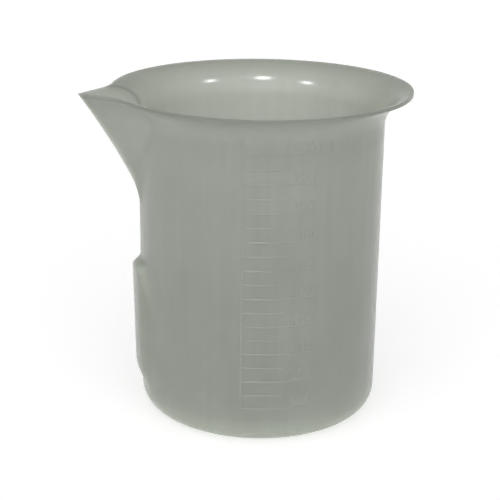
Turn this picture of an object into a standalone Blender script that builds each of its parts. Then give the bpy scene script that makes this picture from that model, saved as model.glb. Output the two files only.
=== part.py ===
"""A 1000 ml low-form beaker, injection moulded in translucent polypropylene.

Metres, +Z up. The origin is on the vessel's axis, at the height that it stands on. The spout points
along -X, and the volume scale faces -Y. Angles around the vessel are measured from the spout, growing
from -X towards -Y.
"""

from math import asin, cos, pi, radians, sin

import bmesh
import bpy

# Vessel
RIM_HEIGHT = 0.1440
WALL_FOOT_RADIUS = 0.0523
WALL_TOP_RADIUS = 0.0530
WALL_THICKNESS = 0.0016
CORNER_RADIUS = 0.0100
FLOOR_THICKNESS = 0.0032

# Foot ring under the floor
FOOT_RING_INNER_RADIUS = 0.0380
FOOT_RECESS_DEPTH = 0.0010
FOOT_RECESS_SLOPE = 0.0006

# Flared rim
RIM_RADIUS = 0.0646
FLARE_BOTTOM = 0.1290
FLARE_END_ANGLE = radians(83)
LIP_EDGE = 0.0004

# Pouring spout
SPOUT_REACH = 0.0261
SPOUT_FOOT = 0.0986
SPOUT_FILLET_BOTTOM = 0.0866
SPOUT_BOW = 0.21
SPOUT_HALF_ANGLE = radians(42)
SPOUT_CORNER_BLEND = 0.0045
SPOUT_SECTOR = radians(45)

# Raised pad under the spout
PAD_BOTTOM = 0.0104
PAD_TOP = 0.0690
PAD_HALF_ANGLE = radians(20)
PAD_PROUD_AT_FOOT = 0.0027
PAD_PROUD_AT_HEAD = 0.0037
PAD_FOOT_SLOPE = 0.0116
PAD_HEAD_SLOPE = 0.0022
PAD_HEAD_FADE = 0.0240
PAD_SIDE_SLOPE = radians(14)

# Volume scale
SCALE_FIRST_ML = 100
SCALE_LAST_ML = 1000
MINOR_STEP_ML = 50
MAJOR_STEP_ML = 100
SPINE_ANGLE = radians(67.5)
SPINE_HEAD = 0.1330
MAJOR_SPAN = radians(32)
MINOR_SPAN = radians(18)
MARK_WIDTH = 0.0007
MARK_GAP = 0.0003
MARK_RELIEF = 0.0004
DIGIT_HEIGHT = 0.0042
DIGIT_BASELINE = 0.0009
DIGIT_PITCH = 0.0034
CAPITAL_SHARE = 0.69
PLACE_NAMES = ("ones", "tens", "hundreds", "thousands")

# Fineness of the mesh
FINE_SECTOR = radians(30)
FINE_STEP = radians(2.5)
COARSE_STEP = radians(7.5)
ARC_STEPS = 6
SPOUT_RINGS = 6
FILLET_RINGS = 3
PAD_SLOPE_RINGS = 2
MARK_STEP = radians(4)
LETTER_STEPS = 2
SHARP_EDGE = radians(35)
WELD_DISTANCE = 1e-6
LEVEL_ROUNDS = 4

# Finish: linear colour and roughness
POLYPROPYLENE = (0.60, 0.62, 0.58, 1.0)
POLYPROPYLENE_ROUGHNESS = 0.38
MARK_TINT = (0.50, 0.52, 0.49, 1.0)
MARK_ROUGHNESS = 0.45


# ---------------------------------------------------------------- shape


def wall_radius(height):
    """Outer radius of the straight, slightly tapered wall."""
    return WALL_FOOT_RADIUS + (WALL_TOP_RADIUS - WALL_FOOT_RADIUS) * height / FLARE_BOTTOM


def flare_radius(turn):
    """Outer radius of the bell-mouthed rim, where turn is how far it has bent from the wall."""
    reach = RIM_RADIUS - WALL_TOP_RADIUS
    return WALL_TOP_RADIUS + reach * (1 - cos(turn)) / (1 - cos(FLARE_END_ANGLE))


def flare_height(turn):
    """Height of the flare's outer skin, whose last point lies one wall thickness below the rim."""
    rise = RIM_HEIGHT - WALL_THICKNESS - FLARE_BOTTOM
    return FLARE_BOTTOM + rise * sin(turn) / sin(FLARE_END_ANGLE)


def skin_radius(height):
    """Outer radius of the round vessel at a height on the wall or on the lower half of the flare."""
    if height <= FLARE_BOTTOM:
        return wall_radius(height)
    rise = RIM_HEIGHT - WALL_THICKNESS - FLARE_BOTTOM
    return flare_radius(asin((height - FLARE_BOTTOM) * sin(FLARE_END_ANGLE) / rise))


def ridge_radius(height):
    """Distance from the axis to the spout's ridge, which bows out a little towards the lip."""
    share = (height - SPOUT_FOOT) / (RIM_HEIGHT - SPOUT_FOOT)
    return wall_radius(height) + SPOUT_REACH * (share - SPOUT_BOW * share * (1 - share))


def soft_max(a, b, blend):
    """The larger of two lengths, rounded where they are closer than the blend."""
    near = max(blend - abs(a - b), 0.0)
    return max(a, b) + near * near / (4 * blend)


def ramp(distance, length):
    """0 outside an edge, 1 once the distance inside it is over the length, smooth between."""
    share = min(max(distance / length, 0.0), 1.0)
    return share * share * (3 - 2 * share)


def pad_proud(angle, height):
    """How far the pad under the spout stands out of the wall, with a longer slope at its head's corners."""
    across = ramp(PAD_HALF_ANGLE - abs(angle), PAD_SIDE_SLOPE)
    head_slope = PAD_HEAD_SLOPE + PAD_HEAD_FADE * (1 - across)
    along = ramp(height - PAD_BOTTOM, PAD_FOOT_SLOPE) * ramp(PAD_TOP - height, head_slope)
    share = (height - PAD_BOTTOM) / (PAD_TOP - PAD_BOTTOM)
    proud = PAD_PROUD_AT_FOOT + (PAD_PROUD_AT_HEAD - PAD_PROUD_AT_FOOT) * share
    return proud * across * along


def surface_radius(angle, radius, height, depth):
    """Radius of a skin at an angle, where depth is 0 on the outer skin and 1 on the inner skin."""
    if height > SPOUT_FILLET_BOTTOM and abs(angle) < SPOUT_SECTOR:
        ridge = ridge_radius(height) - depth * WALL_THICKNESS / sin(SPOUT_HALF_ANGLE)
        flank = ridge * sin(SPOUT_HALF_ANGLE) / sin(SPOUT_HALF_ANGLE + abs(angle))
        radius = soft_max(radius, flank, SPOUT_CORNER_BLEND)
    if depth == 0:
        radius += pad_proud(angle, height)
    return radius


def steps(start, end, count):
    """Evenly spaced values from start to end, both included."""
    return [start + (end - start) * i / count for i in range(count + 1)]


def vessel_profile():
    """(radius, height, depth) of each ring, from the underside out, up, over the lip and down inside."""
    foot_radius = WALL_FOOT_RADIUS - CORNER_RADIUS
    rings = [
        (FOOT_RING_INNER_RADIUS - FOOT_RECESS_SLOPE, FOOT_RECESS_DEPTH, 0),
        (FOOT_RING_INNER_RADIUS, 0.0, 0),
    ]
    for turn in steps(0, pi / 2, ARC_STEPS):
        rings.append((foot_radius + CORNER_RADIUS * sin(turn), CORNER_RADIUS * (1 - cos(turn)), 0))
    pad_foot = steps(PAD_BOTTOM, PAD_BOTTOM + PAD_FOOT_SLOPE, PAD_SLOPE_RINGS)
    pad_head = [PAD_TOP - PAD_HEAD_FADE / 2]
    pad_head += steps(PAD_TOP - PAD_HEAD_SLOPE, PAD_TOP, PAD_SLOPE_RINGS)
    spout_fillet = steps(SPOUT_FILLET_BOTTOM, SPOUT_FOOT, FILLET_RINGS)
    spout_rise = steps(SPOUT_FOOT, FLARE_BOTTOM, SPOUT_RINGS)[1:]
    for height in pad_foot + pad_head + spout_fillet + spout_rise:
        rings.append((wall_radius(height), height, 0))
    for turn in steps(0, FLARE_END_ANGLE, ARC_STEPS)[1:]:
        rings.append((flare_radius(turn), flare_height(turn), 0))
    rings.append((RIM_RADIUS, RIM_HEIGHT - LIP_EDGE, 0))
    rings.append((RIM_RADIUS - LIP_EDGE, RIM_HEIGHT, 0))
    for turn in steps(FLARE_END_ANGLE, 0, ARC_STEPS):
        radius = flare_radius(turn) - WALL_THICKNESS * cos(turn)
        height = min(flare_height(turn) + WALL_THICKNESS * sin(turn), RIM_HEIGHT)
        rings.append((radius - LIP_EDGE * sin(turn), height, 1))
    for height in reversed(spout_fillet + spout_rise[:-1]):
        rings.append((wall_radius(height) - WALL_THICKNESS, height, 1))
    floor_height = FOOT_RECESS_DEPTH + FLOOR_THICKNESS
    inner_corner = CORNER_RADIUS - WALL_THICKNESS
    inner_foot = WALL_FOOT_RADIUS - CORNER_RADIUS
    for turn in steps(pi / 2, 0, ARC_STEPS):
        height = floor_height + inner_corner * (1 - cos(turn))
        rings.append((inner_foot + inner_corner * sin(turn), height, 1))
    return rings


def place(angle, radius, height):
    """A point at an angle from the spout."""
    return (-radius * cos(angle), -radius * sin(angle), height)


def column_angles():
    """Angles of the vessel's columns: fine around the spout and the pad, coarse elsewhere."""
    fine = round(2 * FINE_SECTOR / FINE_STEP)
    coarse = round((2 * pi - 2 * FINE_SECTOR) / COARSE_STEP)
    front = steps(-FINE_SECTOR, FINE_SECTOR, fine)
    rest = steps(FINE_SECTOR, 2 * pi - FINE_SECTOR, coarse)
    return front + rest[1:-1]


# ---------------------------------------------------------------- building


def clear_scene():
    for old in list(bpy.data.objects):
        bpy.data.objects.remove(old, do_unlink=True)


def plastic(name, colour, roughness):
    material = bpy.data.materials.new(name)
    material.use_nodes = True
    shader = material.node_tree.nodes["Principled BSDF"]
    shader.inputs["Base Color"].default_value = colour
    shader.inputs["Roughness"].default_value = roughness
    shader.inputs["Metallic"].default_value = 0.0
    return material


def add_node(name, shape, colour=MARK_TINT, roughness=MARK_ROUGHNESS):
    """Turn a bmesh into a named, smooth-shaded object with its own material."""
    mesh = bpy.data.meshes.new(name)
    shape.to_mesh(mesh)
    shape.free()
    mesh.shade_smooth()
    mesh.set_sharp_from_angle(angle=SHARP_EDGE)
    mesh.materials.append(plastic(name, colour, roughness))
    node = bpy.data.objects.new(name, mesh)
    bpy.context.scene.collection.objects.link(node)
    return node


def bridge(shape, ring_a, ring_b):
    """Join two closed rings of vertices with quads."""
    for i in range(len(ring_a)):
        j = (i + 1) % len(ring_a)
        shape.faces.new((ring_a[i], ring_a[j], ring_b[j], ring_b[i]))


def build_vessel():
    shape = bmesh.new()
    angles = column_angles()
    rings = []
    for radius, height, depth in vessel_profile():
        ring = []
        for angle in angles:
            turned = (angle + pi) % (2 * pi) - pi
            reach = surface_radius(turned, radius, height, depth)
            ring.append(shape.verts.new(place(angle, reach, height)))
        rings.append(ring)
    for lower, upper in zip(rings, rings[1:]):
        bridge(shape, lower, upper)
    shape.faces.new(rings[0])
    shape.faces.new(rings[-1])
    bmesh.ops.recalc_face_normals(shape, faces=shape.faces)
    return add_node("beaker_body", shape, POLYPROPYLENE, POLYPROPYLENE_ROUGHNESS)


def bend_onto_wall(shape, angle, height):
    """Lay a flat shape on the wall: X runs round it from the angle, Y up from the height, Z out."""
    for vertex in shape.verts:
        along, up, out = vertex.co
        reach = skin_radius(height + up) + MARK_GAP + MARK_RELIEF / 2 + out
        vertex.co = place(angle + along / WALL_TOP_RADIUS, reach, height + up)


def cut_across(shape, axis, places):
    """Add an edge loop at each place along an axis, so that the shape can bend there."""
    normal = (1, 0, 0) if axis == 0 else (0, 1, 0)
    for at in places:
        point = (at, 0, 0) if axis == 0 else (0, at, 0)
        geometry = shape.verts[:] + shape.edges[:] + shape.faces[:]
        bmesh.ops.bisect_plane(shape, geom=geometry, plane_co=point, plane_no=normal)


def flat_bar(length, height):
    """A bar from X = 0 to its length, from Y = 0 to its height, with its relief centred on Z = 0."""
    shape = bmesh.new()
    bmesh.ops.create_cube(shape, size=1.0)
    bmesh.ops.scale(shape, verts=shape.verts, vec=(length, height, MARK_RELIEF))
    bmesh.ops.translate(shape, verts=shape.verts, vec=(length / 2, height / 2, 0))
    return shape


def build_tick(name, angle, span, level):
    """A raised line round the wall, centred on a level."""
    length = span * WALL_TOP_RADIUS
    bar = flat_bar(length, MARK_WIDTH)
    cut_across(bar, 0, steps(0, length, round(span / MARK_STEP))[1:-1])
    bend_onto_wall(bar, angle, level - MARK_WIDTH / 2)
    return add_node(name, bar)


def build_spine(foot):
    """The raised upright line, whose head follows the first bend of the flare."""
    bar = flat_bar(MARK_WIDTH, SPINE_HEAD - foot)
    cut_across(bar, 1, steps(FLARE_BOTTOM - foot, SPINE_HEAD - foot, ARC_STEPS // 2)[:-1])
    bend_onto_wall(bar, SPINE_ANGLE - MARK_WIDTH / 2 / WALL_TOP_RADIUS, foot)
    return add_node("scale_spine", bar)


def build_letter(name, letter, angle, baseline):
    """One raised letter or digit, standing on the baseline and centred on the angle."""
    outline = bpy.data.curves.new(name, "FONT")
    outline.body = letter
    outline.size = DIGIT_HEIGHT / CAPITAL_SHARE
    outline.align_x = "CENTER"
    outline.extrude = MARK_RELIEF / 2
    outline.resolution_u = LETTER_STEPS
    flat = bpy.data.objects.new(name + "_flat", outline)
    mesh = bpy.data.meshes.new_from_object(flat)
    shape = bmesh.new()
    shape.from_mesh(mesh)
    bmesh.ops.remove_doubles(shape, verts=shape.verts, dist=WELD_DISTANCE)
    bend_onto_wall(shape, angle, baseline)
    bpy.data.objects.remove(flat)
    bpy.data.curves.remove(outline)
    bpy.data.meshes.remove(mesh)
    return add_node(name, shape)


# ---------------------------------------------------------------- volume scale


def height_of_volume(millilitres):
    """Height of the liquid's surface, from the tapered inner wall and the floor's rounded corner.

    The wall's mean radius depends on the height sought, so a few rounds close in on it.
    """
    floor_height = FOOT_RECESS_DEPTH + FLOOR_THICKNESS
    inner_corner = CORNER_RADIUS - WALL_THICKNESS
    corner_loss = (1 - pi / 4) * inner_corner**2 * 2 * pi * (WALL_FOOT_RADIUS - WALL_THICKNESS)
    volume = millilitres * 1e-6 + corner_loss
    height = floor_height
    for _ in range(LEVEL_ROUNDS):
        inner_radius = wall_radius((floor_height + height) / 2) - WALL_THICKNESS
        height = floor_height + volume / (pi * inner_radius**2)
    return height


def build_scale():
    half = MARK_WIDTH / 2
    build_spine(height_of_volume(SCALE_FIRST_ML) - half)
    tick_start = SPINE_ANGLE + (half + MARK_GAP) / WALL_TOP_RADIUS
    pitch = DIGIT_PITCH / WALL_TOP_RADIUS
    for volume in range(SCALE_FIRST_ML, SCALE_LAST_ML + 1, MINOR_STEP_ML):
        level = height_of_volume(volume)
        if volume % MAJOR_STEP_ML:
            build_tick(f"tick_{volume:04d}_ml", tick_start, MINOR_SPAN, level)
            continue
        build_tick(f"tick_{volume:04d}_ml", tick_start, MAJOR_SPAN, level)
        last_digit = tick_start + MAJOR_SPAN - pitch / 2
        for i, digit in enumerate(reversed(str(volume))):
            name = f"numeral_{volume:04d}_{PLACE_NAMES[i]}"
            build_letter(name, digit, last_digit - i * pitch, level + DIGIT_BASELINE)
    unit_start = tick_start + MAJOR_SPAN + pitch
    for i, letter in enumerate("ml"):
        baseline = height_of_volume(SCALE_LAST_ML) + DIGIT_BASELINE
        build_letter(f"unit_letter_{letter}", letter, unit_start + i * pitch, baseline)


clear_scene()
build_vessel()
build_scale()
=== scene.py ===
"""The looks of the translucent polypropylene beaker: its fine surface, scale, material, floor and light.

Metres, +Z up, in the CAD frame: the origin is on the vessel's axis at the height that it stands on, the
spout points along -X and the volume scale faces -Y. Angles around the vessel are measured from the
spout, growing from -X towards -Y.
"""

from math import asin, cos, exp, pi, radians, sin, sqrt

import bmesh
import bpy
from mathutils import Matrix, Vector


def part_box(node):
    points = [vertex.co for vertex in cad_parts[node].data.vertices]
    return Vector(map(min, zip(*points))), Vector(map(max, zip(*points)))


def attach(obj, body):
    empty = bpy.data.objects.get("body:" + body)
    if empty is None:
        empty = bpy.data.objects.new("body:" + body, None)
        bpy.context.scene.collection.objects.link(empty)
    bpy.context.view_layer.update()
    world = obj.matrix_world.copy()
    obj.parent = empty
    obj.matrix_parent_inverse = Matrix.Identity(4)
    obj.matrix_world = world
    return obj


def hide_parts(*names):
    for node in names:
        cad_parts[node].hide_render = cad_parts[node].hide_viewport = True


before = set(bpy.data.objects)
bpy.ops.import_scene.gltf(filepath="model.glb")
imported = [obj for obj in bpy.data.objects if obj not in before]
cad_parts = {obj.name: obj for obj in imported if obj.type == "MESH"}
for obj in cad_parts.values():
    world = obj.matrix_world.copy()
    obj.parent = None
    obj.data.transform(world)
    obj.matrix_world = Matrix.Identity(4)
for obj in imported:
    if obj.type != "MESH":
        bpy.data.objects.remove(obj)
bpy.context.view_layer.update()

# ---------------------------------------------------------------- sizes shared with the CAD

BODY_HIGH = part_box("beaker_body")[1]
RIM_HEIGHT = BODY_HIGH.z
RIM_RADIUS = BODY_HIGH.x

WALL_FOOT_RADIUS = 0.0523
WALL_TOP_RADIUS = 0.0530
WALL_THICKNESS = 0.0016
CORNER_RADIUS = 0.0100
FLOOR_THICKNESS = 0.0032

FOOT_RING_INNER_RADIUS = 0.0380
FOOT_RECESS_DEPTH = 0.0010
FOOT_RECESS_SLOPE = 0.0006

FLARE_BOTTOM = 0.1290
FLARE_END_ANGLE = radians(83)

SPOUT_REACH = 0.0261
SPOUT_FOOT = 0.0986
SPOUT_FILLET_BOTTOM = 0.0866
SPOUT_BOW = 0.21
SPOUT_HALF_ANGLE = radians(42)
SPOUT_CORNER_BLEND = 0.0045
SPOUT_SECTOR = radians(45)

PAD_BOTTOM = 0.0104
PAD_TOP = 0.0690
PAD_HALF_ANGLE = radians(20)
PAD_PROUD_AT_FOOT = 0.0027
PAD_PROUD_AT_HEAD = 0.0037
PAD_FOOT_SLOPE = 0.0116
PAD_HEAD_SLOPE = 0.0022
PAD_HEAD_FADE = 0.0240
PAD_SIDE_SLOPE = radians(14)

SCALE_FIRST_ML = 100
SCALE_LAST_ML = 1000
MINOR_STEP_ML = 50
MAJOR_STEP_ML = 100
SPINE_ANGLE = radians(67.5)
MAJOR_SPAN = radians(32)
MINOR_SPAN = radians(18)
MARK_WIDTH = 0.0007
MARK_GAP = 0.0003
DIGIT_HEIGHT = 0.0042
DIGIT_BASELINE = 0.0009
DIGIT_PITCH = 0.0034
CAPITAL_SHARE = 0.69

# ---------------------------------------------------------------- fineness and small rounds

LIP_ROUND = 0.00025
RIDGE_SOFTNESS = radians(0.16)
GATE_RADIUS = 0.0016
GATE_DROP = 0.0003
GATE_CLEAR_RADIUS = 0.0040
FLOOR_CENTRE_RADIUS = 0.0020
FOOT_EDGE_ROUND = 0.0003

# Rings of the underside: the gate mark's, as shares of its radius and its drop, the one on the recess's
# side, as shares of its slope and its depth, and the one on the ring's inner edge, as a share of its round
GATE_PROFILE = ((0.5, 1.0), (0.85, 0.85), (1.0, 0.3), (1.15, 0.0))
RECESS_SIDE = (0.4, 0.55)
FOOT_EDGE_LIFT = 0.3

# The slope at the pad's head starts this far above the CAD's slope and ends this far below it
PAD_HEAD_ROUND_ABOVE = 0.0017
PAD_HEAD_ROUND_BELOW = 0.0005

COLUMN_STEP = radians(2)
SPOUT_COLUMN_STEP = radians(1)
RIDGE_COLUMNS = [radians(a) for a in (0.0, 0.12, 0.25, 0.4, 0.6, 0.85, 1.2, 1.6)]
RIDGE_COLUMNS_END = radians(2)
RING_STEP = 0.0032
SPOUT_RING_STEP = 0.0013
PAD_FOOT_RINGS = 8
PAD_RINGS = 16
PAD_HEAD_RINGS = 12
RECESS_RINGS = 6
FLOOR_RINGS = 8
CORNER_STEPS = 16
FLARE_STEPS = 26
EDGE_STEPS = 4

MARK_RELIEF = 0.00016
MARK_ROOT = 0.00012
MARK_ARC_STEPS = 6
MARK_STEP = radians(1.5)
MARK_RING_STEP = 0.0020
MARK_END_ROUND = 0.00035
MARK_TIP_SHARE = 0.15
MARK_SHOULDER_PLACE = 0.3
MARK_SHOULDER_SHARE = 0.7
LETTER_BEVEL = 0.00007
LETTER_STEPS = 4
SHARP_EDGE = radians(50)
WELD_DISTANCE = 1e-7

# The painted light and shade on the plastic, as factors on its colour, and the widths over which they change
# Painted shade: a dark line along the lip's edge
LIP_PAINTED_SHADE = 0.82
LIP_SHADE_REACH = 0.0010
# Painted shade: dark creases where the spout's flanks fold into the round vessel, inside and out
INNER_FOLD_PAINTED_SHADE = 0.66
OUTER_FOLD_PAINTED_SHADE = 0.93
FOLD_SHADE_REACH = 0.0009
FOLD_SHADE_FADE = 0.0054
FOLD_SHADE_BOTTOM = 0.1180
# Painted shade: the flare darker towards the rim, inside and out
FLARE_PAINTED_SHADE = 0.78
FLARE_SHADE_REACH = 0.0120
# Painted shade: the outer skin darker just under the rim
UNDER_RIM_PAINTED_SHADE = 0.93
UNDER_RIM_SHADE_REACH = 0.0280
UNDER_RIM_SHADE_FADE = 0.0140
# Painted light: the plastic paler towards the foot, lifting the floor's shade there
FOOT_PAINTED_LIGHT = 1.15
FOOT_LIGHT_REACH = 0.0300
# Painted light: the inner skin paler, except close to the rim
INSIDE_PAINTED_LIGHT = 1.20
INSIDE_LIGHT_REACH = 0.0340
# Painted light: the slope at the pad's head paler, cancelling its shade
PAD_HEAD_PAINTED_LIGHT = 1.40

# ---------------------------------------------------------------- camera, floor and light

CAMERA_PLACE = Vector((-0.14905, -0.56897, 0.26467))
CAMERA_FORWARD = Vector((0.23235, 0.92065, -0.31371))
CAMERA_RIGHT = Vector((0.97042, -0.24116, 0.01101))
CAMERA_LENS_MM = 100.55
SENSOR_MM = 36.0
CAMERA_SHIFT = (0.00464, -0.00028)
CAMERA_NEAREST = 0.01

FLOOR_SIZE = 12.0
FLOOR_GLOW = 0.45

# The world's light: how strong it is, and between which heights and directions it fades
FRONT_TURN = radians(18)
FRONT_LIGHT = 3.55
FRONT_HEIGHTS = (0.35, 0.65)
FRONT_SPREAD = (0.4, 0.98)
BACK_LIGHT = 0.6
BACK_HEIGHTS = (0.05, 0.2)
BACK_SPREAD = (-0.7, 0.1)
ALL_ROUND_LIGHT = 0.46

# The lamps that only make highlights: name, direction from the rim, diameter and power
LAMP_DISTANCE = 1.6
LAMPS = (
    ("lamp_middle", (-0.165, -0.584, 0.795), 0.15, 36),
    ("lamp_right", (0.529, -0.531, 0.662), 0.12, 18),
    ("lamp_left", (-0.709, -0.321, 0.628), 0.13, 21),
)


# ================================================================ shape


def wall_radius(height):
    """Outer radius of the straight, slightly tapered wall."""
    return WALL_FOOT_RADIUS + (WALL_TOP_RADIUS - WALL_FOOT_RADIUS) * height / FLARE_BOTTOM


def flare_radius(turn):
    """Outer radius of the bell-mouthed rim, where turn is how far it has bent from the wall."""
    reach = RIM_RADIUS - WALL_TOP_RADIUS
    return WALL_TOP_RADIUS + reach * (1 - cos(turn)) / (1 - cos(FLARE_END_ANGLE))


def flare_height(turn):
    """Height of the flare's outer skin, which ends one wall thickness below the rim."""
    rise = RIM_HEIGHT - WALL_THICKNESS - FLARE_BOTTOM
    return FLARE_BOTTOM + rise * sin(turn) / sin(FLARE_END_ANGLE)


def skin_radius(height):
    """Outer radius of the round vessel at a height on the wall or on the flare."""
    if height <= FLARE_BOTTOM:
        return wall_radius(height)
    rise = RIM_HEIGHT - WALL_THICKNESS - FLARE_BOTTOM
    return flare_radius(asin((height - FLARE_BOTTOM) * sin(FLARE_END_ANGLE) / rise))


def ridge_radius(height):
    """Distance from the axis to the spout's ridge, which bows out a little towards the lip."""
    share = (height - SPOUT_FOOT) / (RIM_HEIGHT - SPOUT_FOOT)
    return wall_radius(height) + SPOUT_REACH * (share - SPOUT_BOW * share * (1 - share))


def soft_max(a, b, blend):
    """The larger of two lengths, rounded where they are closer than the blend."""
    near = max(blend - abs(a - b), 0.0)
    return max(a, b) + near * near / (4 * blend)


def ramp(distance, length):
    """0 outside an edge, 1 once the distance inside it is over the length, smooth between."""
    share = min(max(distance / length, 0.0), 1.0)
    return share * share * (3 - 2 * share)


def pad_across(angle):
    """The pad's share of its full height across its width: 1 in the middle, 0 past its sides."""
    return ramp(PAD_HALF_ANGLE - abs(angle), PAD_SIDE_SLOPE)


def pad_head_down(angle, height):
    """How far down the slope at the pad's head a height lies: 0 at its top, 1 at its foot."""
    rounded = PAD_HEAD_ROUND_ABOVE + PAD_HEAD_SLOPE + PAD_HEAD_ROUND_BELOW
    slope = rounded + PAD_HEAD_FADE * (1 - pad_across(angle))
    return (PAD_TOP + PAD_HEAD_ROUND_ABOVE - height) / slope


def pad_proud(angle, height):
    """How far the pad under the spout stands out of the wall."""
    along = ramp(height - PAD_BOTTOM, PAD_FOOT_SLOPE) * ramp(pad_head_down(angle, height), 1)
    share = (height - PAD_BOTTOM) / (PAD_TOP - PAD_BOTTOM)
    proud = PAD_PROUD_AT_FOOT + (PAD_PROUD_AT_HEAD - PAD_PROUD_AT_FOOT) * share
    return proud * pad_across(angle) * along


def surface_radius(angle, radius, height, depth):
    """Radius of a skin at an angle, where depth is 0 on the outer skin and 1 on the inner skin."""
    if height > SPOUT_FILLET_BOTTOM and abs(angle) < SPOUT_SECTOR:
        off_ridge = sqrt(angle * angle + RIDGE_SOFTNESS * RIDGE_SOFTNESS)
        ridge = ridge_radius(height) - depth * WALL_THICKNESS / sin(SPOUT_HALF_ANGLE)
        flank = ridge * sin(SPOUT_HALF_ANGLE) / sin(SPOUT_HALF_ANGLE + off_ridge)
        radius = soft_max(radius, flank, SPOUT_CORNER_BLEND)
    if depth == 0:
        radius += pad_proud(angle, height)
    return radius


def steps(start, end, count):
    """Evenly spaced values from start to end, both included."""
    return [start + (end - start) * i / count for i in range(count + 1)]


def fold_share(angle, radius, height, depth):
    """How close a point is to the fold where the spout's flank meets the round vessel, 0 to 1, for its
    painted shade.
    """
    if height < FOLD_SHADE_BOTTOM or abs(angle) > SPOUT_SECTOR:
        return 0.0
    ridge = ridge_radius(height) - depth * WALL_THICKNESS / sin(SPOUT_HALF_ANGLE)
    flank = ridge * sin(SPOUT_HALF_ANGLE) / sin(SPOUT_HALF_ANGLE + abs(angle))
    off_fold = (radius - flank) / FOLD_SHADE_REACH
    return exp(-off_fold * off_fold) * ramp(height - FOLD_SHADE_BOTTOM, FOLD_SHADE_FADE)


def pad_head_share(angle, height, depth):
    """How close a point is to the middle of the slope at the pad's head, 0 to 1, for the painted light
    there.
    """
    down = pad_head_down(angle, height)
    if depth or not 0 < down < 1:
        return 0.0
    return 4 * down * (1 - down) * pad_across(angle)


def plastic_tone(angle, radius, height, depth):
    """Factor on the plastic's colour that paints light and shade: painted shade at lip, folds, flare and
    under the rim, painted light at foot, pad's head and inside.
    """
    from_lip = sqrt((RIM_RADIUS - radius) ** 2 + (RIM_HEIGHT - WALL_THICKNESS / 2 - height) ** 2)
    # Painted shade at the lip, folds, flare and under the rim; painted light at the foot, inside and on the
    # pad's head
    shares = (
        (LIP_PAINTED_SHADE, ramp(LIP_SHADE_REACH + WALL_THICKNESS / 2 - from_lip, LIP_SHADE_REACH)),
        (INNER_FOLD_PAINTED_SHADE if depth else OUTER_FOLD_PAINTED_SHADE, fold_share(angle, radius, height, depth)),
        (FLARE_PAINTED_SHADE, ramp(height - (RIM_HEIGHT - FLARE_SHADE_REACH), FLARE_SHADE_REACH)),
        (UNDER_RIM_PAINTED_SHADE, (1 - depth) * ramp(height - (RIM_HEIGHT - UNDER_RIM_SHADE_REACH), UNDER_RIM_SHADE_FADE)),
        (FOOT_PAINTED_LIGHT, ramp(FOOT_LIGHT_REACH - height, FOOT_LIGHT_REACH)),
        (INSIDE_PAINTED_LIGHT, depth * ramp(RIM_HEIGHT - height, INSIDE_LIGHT_REACH)),
        (PAD_HEAD_PAINTED_LIGHT, pad_head_share(angle, height, depth)),
    )
    tone_and_painted_shading = 1.0
    for full, share in shares:
        tone_and_painted_shading *= 1 + (full - 1) * share
    return tone_and_painted_shading


def arc(centre, radius, start, end, count):
    """Points (radius, height) on an arc of a profile, by the angle from the outward direction."""
    return [(centre[0] + radius * cos(t), centre[1] + radius * sin(t)) for t in steps(start, end, count)]


def wall_heights():
    """Heights of the rings on the straight wall, closer together over the pad's ends and the spout."""
    foot_top = PAD_BOTTOM + PAD_FOOT_SLOPE
    head_foot = PAD_TOP - PAD_HEAD_SLOPE - PAD_HEAD_ROUND_BELOW
    head_top = PAD_TOP + PAD_HEAD_ROUND_ABOVE
    stretches = (
        (PAD_BOTTOM, foot_top, PAD_FOOT_RINGS),
        (foot_top, head_foot, PAD_RINGS),
        (head_foot, head_top, PAD_HEAD_RINGS),
        (head_top, SPOUT_FILLET_BOTTOM, round((SPOUT_FILLET_BOTTOM - head_top) / RING_STEP)),
        (SPOUT_FILLET_BOTTOM, FLARE_BOTTOM, round((FLARE_BOTTOM - SPOUT_FILLET_BOTTOM) / SPOUT_RING_STEP)),
    )
    heights = [CORNER_RADIUS, PAD_BOTTOM]
    for low, high, count in stretches:
        heights += steps(low, high, count)[1:]
    return heights


def underside_profile():
    """The gate mark, the recessed disc and the foot ring's inner edge, from the axis outwards."""
    recess_edge = FOOT_RING_INNER_RADIUS - FOOT_RECESS_SLOPE
    side_in, side_up = RECESS_SIDE
    points = [(GATE_RADIUS * out, FOOT_RECESS_DEPTH - GATE_DROP * drop) for out, drop in GATE_PROFILE]
    points += [(radius, FOOT_RECESS_DEPTH) for radius in steps(GATE_CLEAR_RADIUS, recess_edge, RECESS_RINGS)]
    points.append((FOOT_RING_INNER_RADIUS - FOOT_RECESS_SLOPE * side_in, FOOT_RECESS_DEPTH * side_up))
    points.append((FOOT_RING_INNER_RADIUS, FOOT_EDGE_ROUND * FOOT_EDGE_LIFT))
    points.append((FOOT_RING_INNER_RADIUS + FOOT_EDGE_ROUND, 0.0))
    return points


def lip_profile():
    """The rounded edge of the rim, from the end of the outer flare over to the inner flare."""
    low_z = RIM_HEIGHT - WALL_THICKNESS
    under = (RIM_RADIUS - LIP_ROUND, low_z + LIP_ROUND)
    over = (RIM_RADIUS - LIP_ROUND, RIM_HEIGHT - LIP_ROUND)
    return arc(under, LIP_ROUND, -pi / 2, 0, EDGE_STEPS) + arc(over, LIP_ROUND, 0, pi / 2, EDGE_STEPS)


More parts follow.
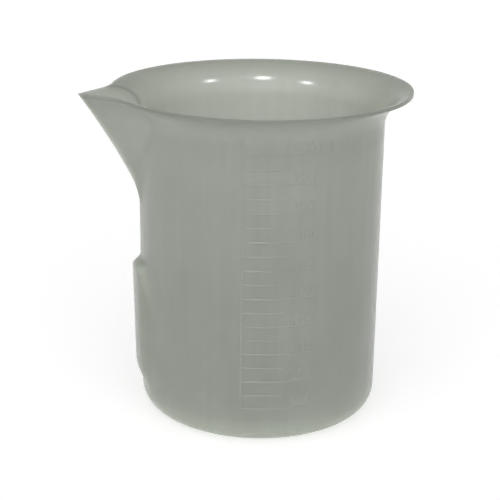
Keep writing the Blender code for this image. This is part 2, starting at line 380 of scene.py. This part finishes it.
def vessel_profile():
    """(radius, height, depth) of each ring, from the underside out, up, over the lip and down inside."""
    foot_radius = WALL_FOOT_RADIUS - CORNER_RADIUS
    outer = underside_profile()
    for turn in steps(0, pi / 2, CORNER_STEPS):
        outer.append((foot_radius + CORNER_RADIUS * sin(turn), CORNER_RADIUS * (1 - cos(turn))))
    outer += [(wall_radius(height), height) for height in wall_heights()[1:]]
    for turn in steps(0, FLARE_END_ANGLE, FLARE_STEPS)[1:-1]:
        outer.append((flare_radius(turn), flare_height(turn)))
    outer += lip_profile()
    inner = []
    for turn in steps(FLARE_END_ANGLE, 0, FLARE_STEPS)[1:]:
        height = flare_height(turn) + WALL_THICKNESS * sin(turn)
        inner.append((flare_radius(turn) - WALL_THICKNESS * cos(turn), min(height, RIM_HEIGHT)))
    floor_height = FOOT_RECESS_DEPTH + FLOOR_THICKNESS
    inner_corner = CORNER_RADIUS - WALL_THICKNESS
    for height in reversed(wall_heights()[:-1]):
        if height > floor_height + inner_corner:
            inner.append((wall_radius(height) - WALL_THICKNESS, height))
    for turn in steps(pi / 2, 0, CORNER_STEPS):
        height = floor_height + inner_corner * (1 - cos(turn))
        inner.append((foot_radius + inner_corner * sin(turn), height))
    inner += [(r, floor_height) for r in steps(foot_radius, FLOOR_CENTRE_RADIUS, FLOOR_RINGS)[1:]]
    return [(r, z, 0) for r, z in outer] + [(r, z, 1) for r, z in inner]


def place(angle, radius, height):
    """A point at an angle from the spout."""
    return (-radius * cos(angle), -radius * sin(angle), height)


def column_angles():
    """Angles of the vessel's columns: finest at the spout's ridge, fine over the spout, coarser behind."""
    half = list(RIDGE_COLUMNS)
    fine_columns = round((SPOUT_SECTOR - RIDGE_COLUMNS_END) / SPOUT_COLUMN_STEP)
    half += steps(RIDGE_COLUMNS_END, SPOUT_SECTOR, fine_columns)
    back = steps(SPOUT_SECTOR, 2 * pi - SPOUT_SECTOR, round((2 * pi - 2 * SPOUT_SECTOR) / COLUMN_STEP))
    return half + back[1:-1] + [2 * pi - a for a in reversed(half[1:])]


# ================================================================ meshes


def new_piece(name, mesh, material):
    """Link a mesh as a piece that rides on the CAD's only body and takes its finish from a slot."""
    mesh.materials.append(material)
    piece = bpy.data.objects.new(name, mesh)
    bpy.context.scene.collection.objects.link(piece)
    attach(piece, "root")
    return piece


def set_tone(mesh, values):
    """Store the painted light and shade at each point for the material to read."""
    painted_shading_layer = mesh.attributes.new("tone_and_painted_shading", "FLOAT", "POINT")
    painted_shading_layer.data.foreach_set("value", values)


def build_vessel_mesh():
    """The whole moulding without its scale, as one closed skin of quads with a fan at each end."""
    angles = [(a + pi) % (2 * pi) - pi for a in column_angles()]
    count = len(angles)
    points = []
    faces = []
    painted_shading_factors = []
    profile = vessel_profile()
    for radius, height, depth in profile:
        points += [place(a, surface_radius(a, radius, height, depth), height) for a in angles]
        painted_shading_factors += [plastic_tone(a, radius, height, depth) for a in angles]
    for ring in range(len(profile) - 1):
        low = ring * count
        for i in range(count):
            j = (i + 1) % count
            faces.append((low + i, low + count + i, low + count + j, low + j))
    under = len(points)
    points += [(0.0, 0.0, profile[0][1]), (0.0, 0.0, profile[-1][1])]
    last = (len(profile) - 1) * count
    for i in range(count):
        j = (i + 1) % count
        faces.append((under, i, j))
        faces.append((under + 1, last + j, last + i))
    mesh = bpy.data.meshes.new("moulded_beaker")
    mesh.from_pydata(points, [], faces)
    set_tone(mesh, painted_shading_factors + [painted_shading_factors[0], painted_shading_factors[-1]])
    shape = bmesh.new()
    shape.from_mesh(mesh)
    bmesh.ops.recalc_face_normals(shape, faces=shape.faces)
    shape.to_mesh(mesh)
    shape.free()
    mesh.shade_smooth()
    return mesh


def rib_section(share):
    """A rounded rib's section as (across, out), with its root in the wall, at a share of its full size."""
    half = MARK_WIDTH / 2 * share
    section = [(-half, -MARK_ROOT)]
    section += [(-half * cos(t), MARK_RELIEF * share * sin(t)) for t in steps(0, pi, MARK_ARC_STEPS)]
    section.append((half, -MARK_ROOT))
    return section


def rib_stations(start, end, step, end_round):
    """(along, share of the full section) of a rib whose ends are rounded off."""
    count = max(1, round((end - start - 2 * end_round) / step))
    middle = [(along, 1.0) for along in steps(start + end_round, end - end_round, count)]
    shoulder = end_round * MARK_SHOULDER_PLACE
    first = [(start, MARK_TIP_SHARE), (start + shoulder, MARK_SHOULDER_SHARE)]
    last = [(end - shoulder, MARK_SHOULDER_SHARE), (end, MARK_TIP_SHARE)]
    return first + middle + last


def add_rib(shape, stations, centre, upright):
    """Add a rib to a shape: upright along heights at an angle, or round the wall at a level."""
    rings = []
    for along, share in stations:
        ring = []
        for across, out in rib_section(share):
            height = along if upright else centre + across
            angle = centre + across / WALL_TOP_RADIUS if upright else along
            ring.append(shape.verts.new(place(angle, skin_radius(height) + out, height)))
        rings.append(ring)
    for low, high in zip(rings, rings[1:]):
        for i in range(len(low)):
            j = (i + 1) % len(low)
            shape.faces.new((low[i], low[j], high[j], high[i]))
    shape.faces.new(rings[0])
    shape.faces.new(rings[-1])


def add_letter(shape, letter, angle, baseline):
    """Add a letter or digit with softened edges to a shape, standing on the baseline, rooted in the wall."""
    outline = bpy.data.curves.new("letter", "FONT")
    outline.body = letter
    outline.size = DIGIT_HEIGHT / CAPITAL_SHARE
    outline.align_x = "CENTER"
    outline.offset = -LETTER_BEVEL
    outline.extrude = (MARK_RELIEF + MARK_ROOT) / 2 - LETTER_BEVEL
    outline.bevel_depth = LETTER_BEVEL
    outline.bevel_resolution = 1
    outline.resolution_u = LETTER_STEPS
    flat = bpy.data.objects.new("letter", outline)
    mesh = bpy.data.meshes.new_from_object(flat)
    middle = (MARK_RELIEF - MARK_ROOT) / 2
    for vertex in mesh.vertices:
        along, up, out = vertex.co
        reach = skin_radius(baseline + up) + middle + out
        vertex.co = place(angle + along / WALL_TOP_RADIUS, reach, baseline + up)
    shape.from_mesh(mesh)
    bpy.data.objects.remove(flat)
    bpy.data.curves.remove(outline)
    bpy.data.meshes.remove(mesh)


def add_relief_piece(name, shape, material, nodes):
    """Turn a shape into a piece of the scale that stands for its CAD nodes.

    The marks cast no shadow or bounce, which would show as dark smudges through the thin wall.
    """
    bmesh.ops.remove_doubles(shape, verts=shape.verts, dist=WELD_DISTANCE)
    bmesh.ops.recalc_face_normals(shape, faces=shape.faces)
    mesh = bpy.data.meshes.new(name)
    shape.to_mesh(mesh)
    shape.free()
    mesh.shade_smooth()
    mesh.set_sharp_from_angle(angle=SHARP_EDGE)
    set_tone(mesh, [1.0] * len(mesh.vertices))
    piece = new_piece(name, mesh, material)
    piece.visible_shadow = False
    piece.visible_diffuse = False
    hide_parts(*nodes)


def node_level(node):
    """Height of the middle of a CAD node."""
    low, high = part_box(node)
    return (low.z + high.z) / 2


def build_scale(material):
    """The raised volume scale: its upright line, long and short lines, numerals and unit."""
    spine = bmesh.new()
    foot, head = (corner.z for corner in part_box("scale_spine"))
    add_rib(spine, rib_stations(foot, head, MARK_RING_STEP, MARK_END_ROUND), SPINE_ANGLE, True)
    add_relief_piece("scale_spine_relief", spine, material, ["scale_spine"])

    long_lines, short_lines, numerals, unit = (bmesh.new() for _ in range(4))
    long_nodes, short_nodes, digit_nodes = [], [], []
    tick_start = SPINE_ANGLE + (MARK_WIDTH / 2 + MARK_GAP) / WALL_TOP_RADIUS
    pitch = DIGIT_PITCH / WALL_TOP_RADIUS
    end_round = MARK_END_ROUND / WALL_TOP_RADIUS
    for volume in range(SCALE_FIRST_ML, SCALE_LAST_ML + 1, MINOR_STEP_ML):
        node = f"tick_{volume:04d}_ml"
        level = node_level(node)
        if volume % MAJOR_STEP_ML:
            stations = rib_stations(SPINE_ANGLE, tick_start + MINOR_SPAN, MARK_STEP, end_round)
            add_rib(short_lines, stations, level, False)
            short_nodes.append(node)
            continue
        stations = rib_stations(SPINE_ANGLE, tick_start + MAJOR_SPAN, MARK_STEP, end_round)
        add_rib(long_lines, stations, level, False)
        long_nodes.append(node)
        last_digit = tick_start + MAJOR_SPAN - pitch / 2
        for i, digit in enumerate(reversed(str(volume))):
            add_letter(numerals, digit, last_digit - i * pitch, level + DIGIT_BASELINE)
        digit_nodes += [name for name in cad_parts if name.startswith(f"numeral_{volume:04d}_")]
    unit_start = tick_start + MAJOR_SPAN + pitch
    for i, letter in enumerate("ml"):
        baseline = node_level(f"tick_{SCALE_LAST_ML:04d}_ml") + DIGIT_BASELINE
        add_letter(unit, letter, unit_start + i * pitch, baseline)
    add_relief_piece("long_lines_relief", long_lines, material, long_nodes)
    add_relief_piece("short_lines_relief", short_lines, material, short_nodes)
    add_relief_piece("numerals_relief", numerals, material, digit_nodes)
    add_relief_piece("unit_letters_relief", unit, material, ["unit_letter_m", "unit_letter_l"])


# ================================================================ materials

WARM_PLASTIC = (0.229, 0.240, 0.208, 1.0)
COOL_PLASTIC = (0.226, 0.243, 0.214, 1.0)
WARM_RELIEF = (0.222, 0.232, 0.200, 1.0)
COOL_RELIEF = (0.219, 0.235, 0.206, 1.0)
CLOUD_CONTRAST = 0.035
STREAK_CONTRAST = 0.02
SCATTER_LENGTH = 0.014
SPECULAR_LEVEL = 0.12
SMOOTHEST = 0.19
ROUGHEST = 0.23
GLOSS_SPECKLE = 0.015
WAVE_DEPTH = 0.00002
GRAIN_DEPTH = 0.000003
PLASTIC_IOR = 1.49
SCATTER_RADIUS = (1.0, 1.02, 0.96)

# Noises: how many times each repeats per metre along X, Y and Z, and its detail
CLOUDS = ((38, 38, 30), 3)
STREAKS = ((260, 260, 14), 2)
SPECKS = ((900, 900, 900), 2)
WAVES = ((120, 120, 70), 1)
BOARD_GRAIN = ((400, 400, 400), 3)
NOISE_ROUGHNESS = 0.55
NOISE_LOW = 0.3
NOISE_HIGH = 0.7

WHITE = (1.0, 1.0, 1.0, 1.0)
BOARD_BRIGHTNESS = (0.89, 0.91)
BOARD_ROUGHNESS = (0.75, 0.85)
BOARD_SPECULAR = 0.1

# The Mix node's sockets for colours
MIX_A = 6
MIX_B = 7
MIX_RESULT = 2


class NodeTree:
    """Short calls for adding and linking a material's or the world's nodes."""

    def __init__(self, owner):
        owner.use_nodes = True
        self.tree = owner.node_tree

    def add(self, kind, inputs=None, **settings):
        node = self.tree.nodes.new(kind)
        for name, value in settings.items():
            setattr(node, name, value)
        for name, value in (inputs or {}).items():
            if isinstance(value, bpy.types.NodeSocket):
                self.tree.links.new(value, node.inputs[name])
            else:
                node.inputs[name].default_value = value
        return node

    def maths(self, operation, a, b):
        return self.add("ShaderNodeMath", {0: a, 1: b}, operation=operation).outputs[0]

    def noise(self, stretch, detail, place):
        """Noise from 0 to 1 in object space, where stretch is how many times it repeats per metre."""
        mapped = self.add("ShaderNodeMapping", {"Vector": place, "Scale": stretch}).outputs[0]
        inputs = {"Vector": mapped, "Scale": 1.0, "Detail": detail, "Roughness": NOISE_ROUGHNESS}
        return self.add("ShaderNodeTexNoise", inputs).outputs[0]

    def ramp(self, value, low, high, to_low, to_high):
        inputs = {"Value": value, "From Min": low, "From Max": high, "To Min": to_low, "To Max": to_high}
        return self.add("ShaderNodeMapRange", inputs).outputs["Result"]

    def spread(self, noise, to_low, to_high):
        """Noise's usual range, stretched over the values from to_low to to_high."""
        return self.ramp(noise, NOISE_LOW, NOISE_HIGH, to_low, to_high)


def plastic_material(name, warm, cool, scatter):
    """Cloudy, as-moulded polypropylene with faint flow streaks, over the painted light and shade stored in
    the mesh.

    Scatter is how much of the light goes through the plastic, from 0 to 1.
    """
    material = bpy.data.materials.new(name)
    nodes = NodeTree(material)
    shader = nodes.tree.nodes["Principled BSDF"]
    place = nodes.add("ShaderNodeTexCoord").outputs["Object"]
    clouds = nodes.noise(*CLOUDS, place)
    streaks = nodes.noise(*STREAKS, place)
    specks = nodes.noise(*SPECKS, place)

    cloudy = nodes.spread(clouds, 1 - CLOUD_CONTRAST, 1 + CLOUD_CONTRAST)
    tone_and_painted_shading = nodes.maths("ADD", cloudy, nodes.spread(streaks, -STREAK_CONTRAST, STREAK_CONTRAST))
    # The painted light and shade stored in the mesh, multiplied into the colour
    painted_shading_layer = nodes.add("ShaderNodeAttribute", attribute_name="tone_and_painted_shading").outputs["Fac"]
    tone_and_painted_shading = nodes.maths("MULTIPLY", tone_and_painted_shading, painted_shading_layer)
    hue = nodes.add("ShaderNodeMix", {"Factor": clouds, MIX_A: warm, MIX_B: cool}, data_type="RGBA")
    toned = {0: hue.outputs[MIX_RESULT], 1: tone_and_painted_shading}
    colour = nodes.add("ShaderNodeVectorMath", toned, operation="MULTIPLY")
    nodes.tree.links.new(colour.outputs[0], shader.inputs["Base Color"])

    speckle = nodes.spread(specks, -GLOSS_SPECKLE, GLOSS_SPECKLE)
    gloss = nodes.maths("ADD", speckle, nodes.spread(clouds, SMOOTHEST, ROUGHEST))
    nodes.tree.links.new(gloss, shader.inputs["Roughness"])
    waves = nodes.noise(*WAVES, place)
    ripple = nodes.add("ShaderNodeBump", {"Height": waves, "Strength": 1.0, "Distance": WAVE_DEPTH})
    grain = {"Height": specks, "Strength": 1.0, "Distance": GRAIN_DEPTH, "Normal": ripple.outputs[0]}
    peel = nodes.add("ShaderNodeBump", grain)
    nodes.tree.links.new(peel.outputs[0], shader.inputs["Normal"])

    shader.inputs["IOR"].default_value = PLASTIC_IOR
    shader.inputs["Specular IOR Level"].default_value = SPECULAR_LEVEL
    shader.inputs["Subsurface Weight"].default_value = scatter
    shader.inputs["Subsurface Radius"].default_value = SCATTER_RADIUS
    shader.inputs["Subsurface Scale"].default_value = SCATTER_LENGTH
    return material


def floor_material():
    """Matt white studio board with a faint paper grain, lit up a little so that it stays plain."""
    material = bpy.data.materials.new("floor")
    nodes = NodeTree(material)
    shader = nodes.tree.nodes["Principled BSDF"]
    place = nodes.add("ShaderNodeTexCoord").outputs["Object"]
    grain = nodes.noise(*BOARD_GRAIN, place)
    white = nodes.spread(grain, *BOARD_BRIGHTNESS)
    colour = nodes.add("ShaderNodeCombineColor", {"Red": white, "Green": white, "Blue": white}).outputs[0]
    nodes.tree.links.new(colour, shader.inputs["Base Color"])
    nodes.tree.links.new(nodes.spread(grain, *BOARD_ROUGHNESS), shader.inputs["Roughness"])
    shader.inputs["Specular IOR Level"].default_value = BOARD_SPECULAR
    shader.inputs["Emission Color"].default_value = WHITE
    shader.inputs["Emission Strength"].default_value = FLOOR_GLOW
    return material


# ================================================================ stage


def add_floor():
    """The plain board that the beaker stands on."""
    half = FLOOR_SIZE / 2
    corners = [(-half, -half, 0), (half, -half, 0), (half, half, 0), (-half, half, 0)]
    mesh = bpy.data.meshes.new("floor")
    mesh.from_pydata(corners, [], [(0, 1, 2, 3)])
    mesh.materials.append(floor_material())
    floor = bpy.data.objects.new("floor", mesh)
    bpy.context.scene.collection.objects.link(floor)


def add_camera():
    """The camera, at the photograph's viewing angle."""
    data = bpy.data.cameras.new("camera")
    data.lens = CAMERA_LENS_MM
    data.sensor_width = SENSOR_MM
    data.shift_x, data.shift_y = CAMERA_SHIFT
    data.clip_start = CAMERA_NEAREST
    camera = bpy.data.objects.new("camera", data)
    right = CAMERA_RIGHT.normalized()
    back = -CAMERA_FORWARD.normalized()
    up = back.cross(right).normalized()
    turn = Matrix((right, up, back)).transposed()
    camera.matrix_world = Matrix.Translation(CAMERA_PLACE) @ turn.to_4x4()
    bpy.context.scene.collection.objects.link(camera)
    bpy.context.scene.camera = camera


def add_lamp(name, direction, size, power):
    """A round lamp in a direction from the rim, facing it, that only makes a highlight on the plastic."""
    data = bpy.data.lights.new(name, "AREA")
    data.shape = "DISK"
    data.size = size
    data.energy = power
    lamp = bpy.data.objects.new(name, data)
    target = Vector((0, 0, RIM_HEIGHT))
    lamp.location = target + Vector(direction).normalized() * LAMP_DISTANCE
    lamp.rotation_euler = (lamp.location - target).to_track_quat("Z", "Y").to_euler()
    lamp.visible_diffuse = False
    bpy.context.scene.collection.objects.link(lamp)


def add_light():
    """The world's light from the front, from behind and from all round, and the highlights' lamps."""
    world = bpy.data.worlds.new("studio")
    nodes = NodeTree(world)
    direction = nodes.add("ShaderNodeTexCoord").outputs["Generated"]
    height = nodes.add("ShaderNodeSeparateXYZ", {"Vector": direction}).outputs["Z"]
    towards = {0: direction, 1: (-sin(FRONT_TURN), -cos(FRONT_TURN), 0.0)}
    front_share = nodes.add("ShaderNodeVectorMath", towards, operation="DOT_PRODUCT").outputs["Value"]
    front_low = nodes.ramp(height, *FRONT_HEIGHTS, FRONT_LIGHT, 0.0)
    front = nodes.maths("MULTIPLY", nodes.ramp(front_share, *FRONT_SPREAD, 0.0, 1.0), front_low)
    back_low = nodes.ramp(height, *BACK_HEIGHTS, BACK_LIGHT, 0.0)
    back = nodes.maths("MULTIPLY", nodes.ramp(front_share, *BACK_SPREAD, 1.0, 0.0), back_low)
    strength = nodes.maths("ADD", nodes.maths("ADD", front, back), ALL_ROUND_LIGHT)
    background = nodes.tree.nodes["Background"]
    background.inputs["Color"].default_value = WHITE
    nodes.tree.links.new(strength, background.inputs["Strength"])
    bpy.context.scene.world = world
    for lamp in LAMPS:
        add_lamp(*lamp)


# ================================================================ build

bpy.context.scene.view_settings.view_transform = "Standard"
add_camera()
add_floor()
add_light()
body_plastic = plastic_material("translucent_polypropylene", WARM_PLASTIC, COOL_PLASTIC, 1.0)
relief_plastic = plastic_material("polypropylene_relief", WARM_RELIEF, COOL_RELIEF, 0.0)
vessel = new_piece("moulded_beaker", build_vessel_mesh(), body_plastic)
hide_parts("beaker_body")
build_scale(relief_plastic)
